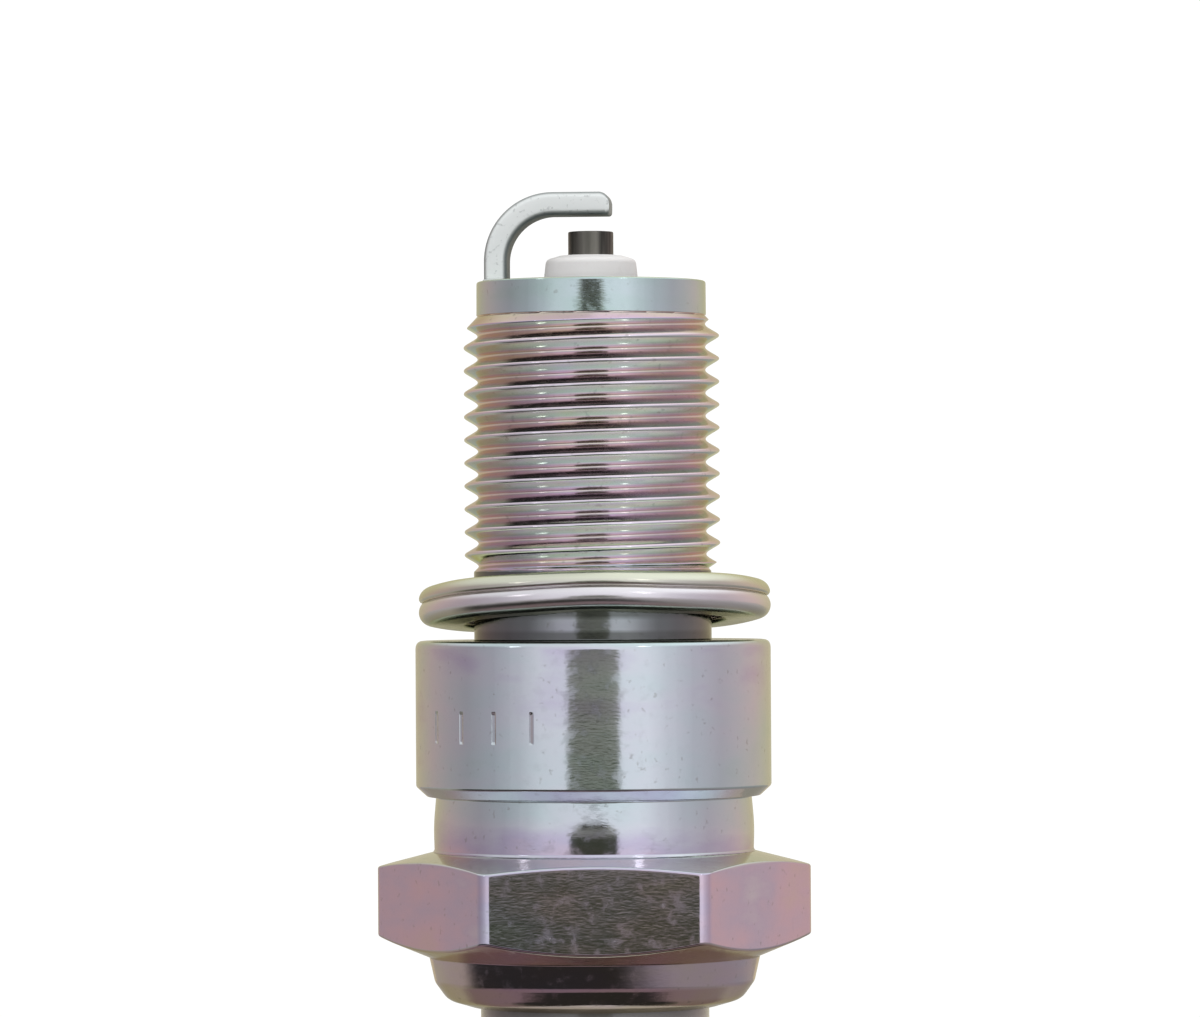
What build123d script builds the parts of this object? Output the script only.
from build123d import *
import math
import os

# Spark plug, 14 mm thread, 19 mm reach, 20.8 mm hexagon, removable terminal nut.
# Millimetres. +Z points from the gasket seat to the firing end. The origin is on the axis,
# in the plane of the shoulder that the gasket seals on. A flat of the hexagon faces -Y.

# engine thread, M14 x 1.25
PITCH = 1.25
THREAD_MAJOR_R = 6.95
THREAD_CORE_R = 6.17
THREAD_FIRST_Z = 3.7
THREAD_LAST_Z = 17.5
CREST_PHASE_Z = 16.5
THREAD_ROOTING = 0.12
SHELL_END_Z = 19.46
PILOT_R = 6.24
PILOT_LOW_Z = 18.2
PILOT_CONE_Z = 17.65
PILOT_CHAMFER = 0.12

# shoulder, crimp groove and hexagon of the shell
NECK_R = 6.45
NECK_FILLET = 0.35
COLLAR_R = 9.65
COLLAR_TOP_ROUND = 0.45
COLLAR_LOW_Z = -8.45
COLLAR_LOW_CHAMFER = 0.55
GROOVE_R = 8.64
GROOVE_BULGE = 0.06
HEX_TOP_Z = -11.45
HEX_UPPER_CORNER_Z = -12.25
HEX_LOWER_CORNER_Z = -16.0
HEX_LOW_Z = -17.15
HEX_ACROSS_FLATS = 20.6
HEX_CORNER_ROUND = 0.9
HEX_CORNER_R = 11.76

# rolled lip that closes the shell on the insulator
LIP_R = 8.97
LIP_KNEE = (8.66, -18.45)
LIP_CURVE = (8.05, -19.17)
LIP_END = (6.6, -19.85)
LIP_MOUTH_R = 6.5

# bore of the shell
END_BORE_R = 4.95
LEDGE_R = 3.8
BODY_BORE_R = 4.85
WIDE_BORE_R = 7.4
LEDGE_OUTER_Z = 5.6
LEDGE_INNER_Z = 6.5
LEDGE_TOP_Z = 9.0
WIDE_BORE_Z = -5.2
BODY_BORE_LOW_Z = -2.7

# insulator
NOSE_END_Z = 20.87
NOSE_FLAT_R = 1.75
NOSE_R = 2.5
NOSE_ROUND_Z = 20.0
NOSE_BASE_R = 3.4
SEAT_BODY_R = 4.7
FLANGE_R = 7.3
FLANGE_HIGH_Z = -6.4
FLANGE_LOW_Z = -12.8
HEAD_R = 6.2
HEAD_Z = -13.4
RIB_COUNT = 5
RIB_PITCH = 2.6
RIB_FIRST_Z = -27.6
RIB_SWELL = 0.36
RIB_FIRST_R = 5.72
RIB_LAST_R = 4.95
HEAD_END_R = 4.75
HEAD_END_Z = -42.5
ELECTRODE_BORE_R = 1.25
STUD_BORE_R = 1.95
COUNTERBORE_Z = 9.5

# packing between the flange and the rolled lip
WASHER_THICKNESS = 0.4
WIRE_R = 0.55
WIRE_CIRCLE_R = 6.8
FLANGE_WIRE_Z = -13.75
LIP_WIRE_Z = -18.0
FIT = 0.02

# electrodes
ELECTRODE_R = 1.23
ELECTRODE_TIP_Z = 22.17
ELECTRODE_HEAD_R = 1.9
ELECTRODE_HEAD_Z = 8.3
CORE_R = 0.83
CORE_TIP_Z = 18.2
STRAP_THICKNESS = 1.25
STRAP_WIDTH = 2.7
STRAP_EDGE_ROUND = 0.32
STRAP_LEG_X = -5.12
STRAP_BEND_R = 3.12
STRAP_TOP_Z = 24.3
STRAP_END_X = 1.1
STRAP_END_ROUND = 0.6
STRAP_TOE_ROUND = 0.36
STRAP_TURN = -4.0
WELD_GAP = 0.03

# filling of the insulator bore and the terminal
ELECTRODE_SEAL_Z = 5.3
RESISTOR_Z = -5.0
STUD_SEAL_Z = -9.0
STUD_TIP_Z = -6.0
STUD_TIP_R = 1.5
STUD_R = 1.75
STUD_FLANGE_R = 2.9
STUD_FLANGE_Z = -43.4
STUD_END_Z = -50.4
STUD_THREAD_CORE_R = 1.6
STUD_THREAD_R = 1.98
STUD_PITCH = 0.7
NUT_R = 3.175
NUT_WAIST_R = 2.65
NUT_BORE_R = 2.04
NUT_END_Z = -53.0
NUT_BORE_Z = -51.2

# captive folded gasket, lying loose and askew on the neck
GASKET_MIDDLE = (0.1, 0, 2.0)
GASKET_TILT = -4.5
GASKET_ROLL = -0.95
GASKET_STRIP = 0.42
GASKET_INNER_R = 6.78
GASKET_OUTER_R = 9.56
GASKET_HEIGHT = 2.1


def turned(*lines):
    """A solid of revolution about Z from the closed outline (radius, height)."""
    outline = make_face(Plane.XZ * Wire(lines))
    return revolve(outline, Axis.Z)


def turned_polygon(*points):
    return turned(*Polyline(*points, close=True).edges())


def threaded_ridge(core_r, crest_r, pitch, low_z, high_z, phase_z):
    """A right-handed 60 degree ridge, rooted inside the core, with a crest at +X at phase_z."""
    depth = crest_r - core_r
    crest_half = pitch / 16
    base_half = crest_half + (depth + THREAD_ROOTING) * math.tan(math.radians(30))
    start_z = phase_z - (math.floor((phase_z - low_z) / pitch) + 1) * pitch
    section = Plane(origin=(core_r, 0, start_z), x_dir=(1, 0, 0), z_dir=(0, -1, 0)) * make_face(
        Polyline(
            (-THREAD_ROOTING, -base_half),
            (depth, -crest_half),
            (depth, crest_half),
            (-THREAD_ROOTING, base_half),
            close=True,
        )
    )
    path = Helix(pitch, high_z + pitch - start_z, core_r, center=(0, 0, start_z))
    return sweep(section, path, is_frenet=True)


def run_out(core_r, crest_r, low_z, high_z, low_run, high_run):
    """The space a thread may fill: full height between two cones that end below the core."""
    outer = crest_r + 0.1
    rooted = core_r - 1.4 * THREAD_ROOTING
    return turned_polygon(
        (rooted - 0.1, low_z),
        (rooted, low_z),
        (outer, low_z + low_run),
        (outer, high_z - high_run),
        (rooted, high_z),
        (rooted - 0.1, high_z),
    )


def shell_outline():
    """Outline of the shell with the hexagon's place filled by a plain band."""
    collar_low_r = COLLAR_R - COLLAR_LOW_CHAMFER
    groove_middle_z = (COLLAR_LOW_Z + HEX_TOP_Z) / 2
    wire_gap = WIRE_R + 0.05
    outer = Polyline(
        (END_BORE_R, SHELL_END_Z),
        (PILOT_R - PILOT_CHAMFER, SHELL_END_Z),
        (PILOT_R, SHELL_END_Z - PILOT_CHAMFER),
        (PILOT_R, PILOT_LOW_Z),
        (THREAD_CORE_R, PILOT_CONE_Z),
        (THREAD_CORE_R, THREAD_FIRST_Z + 0.3),
        (NECK_R, THREAD_FIRST_Z),
        (NECK_R, NECK_FILLET),
    ).edges()
    fillet_mid = NECK_FILLET * (1 - math.cos(math.radians(45)))
    outer += ThreePointArc(
        (NECK_R, NECK_FILLET), (NECK_R + fillet_mid, fillet_mid), (NECK_R + NECK_FILLET, 0)
    ).edges()
    outer += Line((NECK_R + NECK_FILLET, 0), (COLLAR_R - COLLAR_TOP_ROUND, 0)).edges()
    round_mid = COLLAR_TOP_ROUND * (1 - math.cos(math.radians(45)))
    outer += ThreePointArc(
        (COLLAR_R - COLLAR_TOP_ROUND, 0),
        (COLLAR_R - round_mid, -round_mid),
        (COLLAR_R, -COLLAR_TOP_ROUND),
    ).edges()
    outer += Polyline(
        (COLLAR_R, -COLLAR_TOP_ROUND),
        (COLLAR_R, COLLAR_LOW_Z + COLLAR_LOW_CHAMFER),
        (collar_low_r, COLLAR_LOW_Z),
        (GROOVE_R, COLLAR_LOW_Z),
    ).edges()
    outer += ThreePointArc(
        (GROOVE_R, COLLAR_LOW_Z), (GROOVE_R + GROOVE_BULGE, groove_middle_z), (GROOVE_R, HEX_TOP_Z)
    ).edges()
    outer += Polyline((GROOVE_R, HEX_TOP_Z), (LIP_R, HEX_TOP_Z), (LIP_R, HEX_LOW_Z), LIP_KNEE).edges()
    outer += ThreePointArc(LIP_KNEE, LIP_CURVE, LIP_END).edges()
    inner = Polyline(
        LIP_END,
        (LIP_MOUTH_R, LIP_END[1] + 0.1),
        (LIP_MOUTH_R, LIP_WIRE_Z - wire_gap - 0.15),
        (WIRE_CIRCLE_R, LIP_WIRE_Z - wire_gap),
    ).edges()
    inner += ThreePointArc(
        (WIRE_CIRCLE_R, LIP_WIRE_Z - wire_gap),
        (WIRE_CIRCLE_R + wire_gap * math.sqrt(0.5), LIP_WIRE_Z - wire_gap * math.sqrt(0.5)),
        (WIDE_BORE_R, LIP_WIRE_Z),
    ).edges()
    inner += Polyline(
        (WIDE_BORE_R, LIP_WIRE_Z),
        (WIDE_BORE_R, WIDE_BORE_Z),
        (BODY_BORE_R, BODY_BORE_LOW_Z),
        (BODY_BORE_R, LEDGE_OUTER_Z),
        (LEDGE_R, LEDGE_INNER_Z),
        (LEDGE_R, LEDGE_TOP_Z),
        (END_BORE_R, LEDGE_TOP_Z + 1.5),
        (END_BORE_R, SHELL_END_Z),
    ).edges()
    return list(outer) + list(inner)


def hexagon():
    """The wrench hexagon, with rounded corners and both ends chamfered, open in the middle."""
    prism_height = HEX_TOP_Z - HEX_LOW_Z
    sketch = RegularPolygon(HEX_ACROSS_FLATS / 2, 6, major_radius=False)
    sketch = fillet(sketch.vertices(), HEX_CORNER_ROUND)
    prism = Pos(0, 0, HEX_LOW_Z) * extrude(sketch, prism_height)
    limits = turned_polygon(
        (WIDE_BORE_R + 0.4, HEX_TOP_Z),
        (GROOVE_R, HEX_TOP_Z),
        (HEX_CORNER_R, HEX_UPPER_CORNER_Z),
        (HEX_CORNER_R, HEX_LOWER_CORNER_Z),
        (LIP_R, HEX_LOW_Z),
        (WIDE_BORE_R + 0.4, HEX_LOW_Z),
    )
    return prism & limits


def engine_thread():
    """The M14 ridge, run out into the core at both ends."""
    size = (THREAD_CORE_R, THREAD_MAJOR_R)
    ridge = threaded_ridge(*size, PITCH, THREAD_FIRST_Z, THREAD_LAST_Z, CREST_PHASE_Z)
    return ridge & run_out(*size, THREAD_FIRST_Z - 0.1, THREAD_LAST_Z + 0.1, 0.7, 0.9)


def shell():
    return turned(*shell_outline()) + engine_thread() + hexagon()


def on_ledge(radius, offset):
    """Height of a cone that lies below the shell's ledge by offset, measured square to it."""
    rise = LEDGE_INNER_Z - LEDGE_OUTER_Z
    run = BODY_BORE_R - LEDGE_R
    slope = rise / run
    return LEDGE_OUTER_Z + (BODY_BORE_R - radius) * slope - offset * math.hypot(rise, run) / run


def insulator_seat_washer():
    outer_r = BODY_BORE_R - 0.1
    inner_r = LEDGE_R + 0.05
    return turned_polygon(
        (outer_r, on_ledge(outer_r, FIT)),
        (inner_r, on_ledge(inner_r, FIT)),
        (inner_r, on_ledge(inner_r, FIT + WASHER_THICKNESS)),
        (outer_r, on_ledge(outer_r, FIT + WASHER_THICKNESS)),
    )


def rib_radius(z):
    """Mean radius of the ribbed part, which tapers towards the terminal."""
    span = RIB_COUNT * RIB_PITCH
    return RIB_FIRST_R + (RIB_LAST_R - RIB_FIRST_R) * (RIB_FIRST_Z - z) / span


def insulator_ribs():
    """Half waves in turn out and in: each rib is a rounded ridge and a rounded groove."""
    lines = ShapeList()
    half = RIB_PITCH / 2
    for step in range(2 * RIB_COUNT):
        high_z = RIB_FIRST_Z - step * half
        low_z = high_z - half
        middle_z = (high_z + low_z) / 2
        swell = RIB_SWELL if step % 2 else -RIB_SWELL
        lines += ThreePointArc(
            (rib_radius(high_z), high_z),
            (rib_radius(middle_z) + swell, middle_z),
            (rib_radius(low_z), low_z),
        ).edges()
    return lines


def insulator():
    seat_offset = WASHER_THICKNESS + 2 * FIT
    ribs_end_z = RIB_FIRST_Z - RIB_COUNT * RIB_PITCH
    lines = Line((ELECTRODE_BORE_R, NOSE_END_Z), (NOSE_FLAT_R, NOSE_END_Z)).edges()
    lines += ThreePointArc(
        (NOSE_FLAT_R, NOSE_END_Z), (NOSE_R - 0.2, NOSE_END_Z - 0.27), (NOSE_R, NOSE_ROUND_Z)
    ).edges()
    lines += Polyline(
        (NOSE_R, NOSE_ROUND_Z),
        (NOSE_BASE_R - 0.05, LEDGE_INNER_Z + 0.6),
        (NOSE_BASE_R, on_ledge(NOSE_BASE_R, seat_offset)),
        (SEAT_BODY_R, on_ledge(SEAT_BODY_R, seat_offset)),
        (SEAT_BODY_R, FLANGE_HIGH_Z + FLANGE_R - SEAT_BODY_R),
        (FLANGE_R, FLANGE_HIGH_Z),
        (FLANGE_R, FLANGE_LOW_Z),
        (HEAD_R, HEAD_Z),
        (HEAD_R, RIB_FIRST_Z + 1.0),
        (rib_radius(RIB_FIRST_Z), RIB_FIRST_Z),
    ).edges()
    lines += insulator_ribs()
    lines += Polyline(
        (rib_radius(ribs_end_z), ribs_end_z),
        (HEAD_END_R, HEAD_END_Z + 0.5),
        (HEAD_END_R - 0.5, HEAD_END_Z),
        (STUD_BORE_R, HEAD_END_Z),
        (STUD_BORE_R, COUNTERBORE_Z),
        (ELECTRODE_BORE_R, COUNTERBORE_Z),
        (ELECTRODE_BORE_R, NOSE_END_Z),
    ).edges()
    return turned(*lines)


def packing_ring(z):
    circle = Plane.XZ * (Pos(WIRE_CIRCLE_R, z) * Circle(WIRE_R))
    return revolve(circle, Axis.Z)


def talc_ring():
    return turned_polygon(
        (HEAD_R + FIT, FLANGE_WIRE_Z - WIRE_R - FIT),
        (WIDE_BORE_R - FIT, FLANGE_WIRE_Z - WIRE_R - FIT),
        (WIDE_BORE_R - FIT, LIP_WIRE_Z + WIRE_R + FIT),
        (HEAD_R + FIT, LIP_WIRE_Z + WIRE_R + FIT),
    )


def centre_electrode():
    """Nickel alloy rod with a head, drilled from the back for the copper core."""
    edge = 0.1
    bore_r = CORE_R + FIT
    return turned_polygon(
        (0, ELECTRODE_TIP_Z),
        (ELECTRODE_R - edge, ELECTRODE_TIP_Z),
        (ELECTRODE_R, ELECTRODE_TIP_Z - edge),
        (ELECTRODE_R, COUNTERBORE_Z - FIT),
        (ELECTRODE_HEAD_R, COUNTERBORE_Z - FIT),
        (ELECTRODE_HEAD_R, ELECTRODE_HEAD_Z),
        (bore_r, ELECTRODE_HEAD_Z),
        (bore_r, CORE_TIP_Z),
        (0, CORE_TIP_Z + 0.6),
    )


def centre_electrode_core():
    return turned_polygon(
        (0, ELECTRODE_HEAD_Z),
        (CORE_R, ELECTRODE_HEAD_Z),
        (CORE_R, CORE_TIP_Z),
        (0, CORE_TIP_Z + 0.55),
    )


def bore_filling(high_z, low_z):
    """A plug that fills the insulator's wide bore between two heights."""
    return Pos(0, 0, low_z) * extrude(Circle(STUD_BORE_R - FIT), high_z - low_z)


def stud_glass_seal():
    """Fused glass round the tip of the stud."""
    recess = Pos(0, 0, STUD_SEAL_Z) * extrude(Circle(STUD_TIP_R + FIT), STUD_TIP_Z - STUD_SEAL_Z)
    return bore_filling(RESISTOR_Z - FIT, STUD_SEAL_Z) - recess


def terminal_stud():
    """Stud with a grooved tip in the glass, a flange on the insulator and an M4 end."""
    groove_depth = 0.2
    outline = [(0, STUD_TIP_Z - FIT), (STUD_TIP_R, STUD_TIP_Z - FIT)]
    for groove in range(4):
        groove_z = STUD_TIP_Z - 0.5 - 0.6 * groove
        outline.append((STUD_TIP_R, groove_z))
        outline.append((STUD_TIP_R - groove_depth, groove_z - 0.15))
        outline.append((STUD_TIP_R, groove_z - 0.3))
    outline += [
        (STUD_TIP_R, STUD_SEAL_Z - FIT),
        (STUD_R, STUD_SEAL_Z - FIT),
        (STUD_R, HEAD_END_Z - FIT),
        (STUD_FLANGE_R, HEAD_END_Z - FIT),
        (STUD_FLANGE_R, STUD_FLANGE_Z),
        (STUD_THREAD_CORE_R, STUD_FLANGE_Z),
        (STUD_THREAD_CORE_R, STUD_END_Z + 0.4),
        (STUD_THREAD_CORE_R - 0.4, STUD_END_Z),
        (0, STUD_END_Z),
    ]
    size = (STUD_THREAD_CORE_R, STUD_THREAD_R)
    first_z = STUD_END_Z + 0.2
    last_z = STUD_FLANGE_Z - 0.4
    ridge = threaded_ridge(*size, STUD_PITCH, first_z, last_z, last_z)
    return turned_polygon(*outline) + (ridge & run_out(*size, first_z, last_z, 0.6, 0.6))


def terminal_nut():
    """Cap terminal of 6.35 mm diameter with the waist that a plug cap's spring clips into."""
    base_z = STUD_FLANGE_Z - FIT
    return turned_polygon(
        (NUT_BORE_R, base_z),
        (NUT_R - 0.25, base_z),
        (NUT_R, base_z - 0.25),
        (NUT_R, base_z - 3.9),
        (NUT_WAIST_R, base_z - 4.5),
        (NUT_WAIST_R, base_z - 5.5),
        (NUT_R, base_z - 6.1),
        (NUT_R, NUT_END_Z + 0.8),
        (NUT_R - 0.9, NUT_END_Z),
        (0, NUT_END_Z),
        (0, NUT_BORE_Z),
        (NUT_BORE_R, NUT_BORE_Z + 0.6),
    )


def quarter(centre, radius, start_angle):
    """A quarter circle in the (x, z) plane, clockwise from start_angle in degrees."""
    points = []
    for angle in (start_angle, start_angle - 45, start_angle - 90):
        turn = math.radians(angle)
        points.append((centre[0] + radius * math.cos(turn), centre[1] + radius * math.sin(turn)))
    return points


def strap_outline():
    """Side view of the strap: outer leg, bend, top, rounded tip, underside and inner leg."""
    half = STRAP_THICKNESS / 2
    root_z = SHELL_END_Z + WELD_GAP
    low_z = STRAP_TOP_Z - STRAP_THICKNESS
    bend = (STRAP_LEG_X + STRAP_BEND_R, STRAP_TOP_Z - half - STRAP_BEND_R)
    outer = quarter(bend, STRAP_BEND_R + half, 180)
    inner = quarter(bend, STRAP_BEND_R - half, 180)
    upper = quarter(
        (STRAP_END_X - STRAP_END_ROUND, STRAP_TOP_Z - STRAP_END_ROUND), STRAP_END_ROUND, 90
    )
    lower = quarter((STRAP_END_X - STRAP_TOE_ROUND, low_z + STRAP_TOE_ROUND), STRAP_TOE_ROUND, 0)
    outer_root = (outer[0][0], root_z)
    inner_root = (inner[0][0], root_z)
    return Wire(
        Line(outer_root, outer[0]).edges()
        + ThreePointArc(*outer).edges()
        + Line(outer[2], upper[0]).edges()
        + ThreePointArc(*upper).edges()
        + Line(upper[2], lower[0]).edges()
        + ThreePointArc(*lower).edges()
        + Line(lower[2], inner[2]).edges()
        + ThreePointArc(*inner[::-1]).edges()
        + Line(inner[0], inner_root).edges()
        + Line(inner_root, outer_root).edges()
    )


def ground_electrode():
    """Flat nickel strap on the shell's end, bent over the centre electrode."""
    strap = extrude(make_face(Plane.XZ * strap_outline()), STRAP_WIDTH / 2, both=True)
    rims = []
    for side in (strap.faces().sort_by(Axis.Y)[0], strap.faces().sort_by(Axis.Y)[-1]):
        rims += side.edges().sort_by(Axis.Z)[1:]
    return Rot(0, 0, STRAP_TURN) * fillet(rims, STRAP_EDGE_ROUND)


def gasket_fold():
    """Middle line of the folded strip, from its curled upper edge to its lower inner edge."""
    half = GASKET_STRIP / 2
    inner = GASKET_INNER_R + half
    outer = GASKET_OUTER_R - half
    top = GASKET_HEIGHT / 2 - half
    bend = top / 2
    corner = bend * math.sqrt(0.5)
    lip = outer - 0.03
    lines = Line((lip, bend - 0.15), (lip, bend)).edges()
    lines += ThreePointArc(
        (lip, bend), (lip - bend + corner, bend + corner), (lip - bend, top)
    ).edges()
    lines += Line((lip - bend, top), (inner + bend, top)).edges()
    lines += ThreePointArc((inner + bend, top), (inner, bend), (inner + bend, 0)).edges()
    lines += Line((inner + bend, 0), (outer - bend, 0)).edges()
    lines += ThreePointArc((outer - bend, 0), (outer, -bend), (outer - bend, -top)).edges()
    lines += Line((outer - bend, -top), (inner + 0.3, -top)).edges()
    return Wire(lines)


def gasket():
    """Ring folded from one steel strip, lying askew on the neck."""
    strip = Plane.XZ * trace(gasket_fold(), GASKET_STRIP)
    ring = revolve(strip, Axis.Z)
    return Pos(GASKET_MIDDLE) * Rot(GASKET_TILT, GASKET_ROLL, 0) * ring


PARTS = {
    "shell": shell(),
    "ground_electrode": ground_electrode(),
    "gasket": gasket(),
    "insulator": insulator(),
    "insulator_seat_washer": insulator_seat_washer(),
    "flange_packing_ring": packing_ring(FLANGE_WIRE_Z),
    "talc_ring": talc_ring(),
    "lip_packing_ring": packing_ring(LIP_WIRE_Z),
    "centre_electrode": centre_electrode(),
    "centre_electrode_core": centre_electrode_core(),
    "electrode_glass_seal": bore_filling(ELECTRODE_HEAD_Z - FIT, ELECTRODE_SEAL_Z),
    "resistor": bore_filling(ELECTRODE_SEAL_Z - FIT, RESISTOR_Z),
    "stud_glass_seal": stud_glass_seal(),
    "terminal_stud": terminal_stud(),
    "terminal_nut": terminal_nut(),
}

os.makedirs("parts", exist_ok=True)
for name, shape in PARTS.items():
    export_step(shape, f"parts/{name}.step")
    print(f"{name}: {len(shape.solids())} solid, {shape.volume:.2f} mm3, valid {shape.is_valid}")
